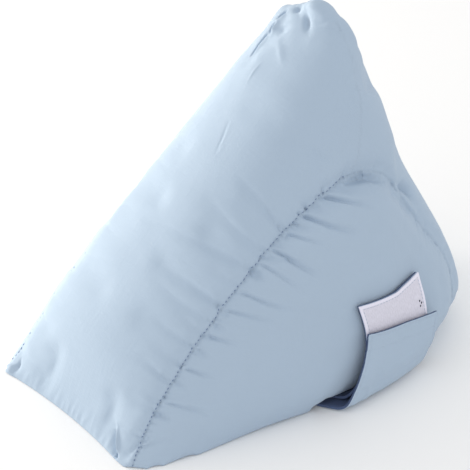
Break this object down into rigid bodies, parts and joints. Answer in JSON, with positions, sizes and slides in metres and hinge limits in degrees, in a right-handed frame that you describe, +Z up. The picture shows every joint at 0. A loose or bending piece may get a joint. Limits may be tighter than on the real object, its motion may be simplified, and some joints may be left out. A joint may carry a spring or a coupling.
{
  "type": "heel support cushion",
  "caption": "Stuffed wedge cushion of pale blue cotton with a sloping front, swelling side gussets and a wide strap pair with loop tape at one side.",
  "frame": {"origin": "middle of the footprint's box, on the flat base", "axes": "+Z up, -Y towards the low front edge of the slope, +X towards the side with the straps"},
  "size_m": [0.2222, 0.3156, 0.267],
  "materials": {
    "cotton_cloth": "matte plain-woven cotton, pale blue",
    "loop_pile": "short brushed loops, pale lavender grey"
  },
  "bodies": {
    "root": {"cushion": "cotton_cloth", "strap_inner": "cotton_cloth", "loop_tape": "loop_pile", "strap_outer": "cotton_cloth"}
  },
  "joints": []
}
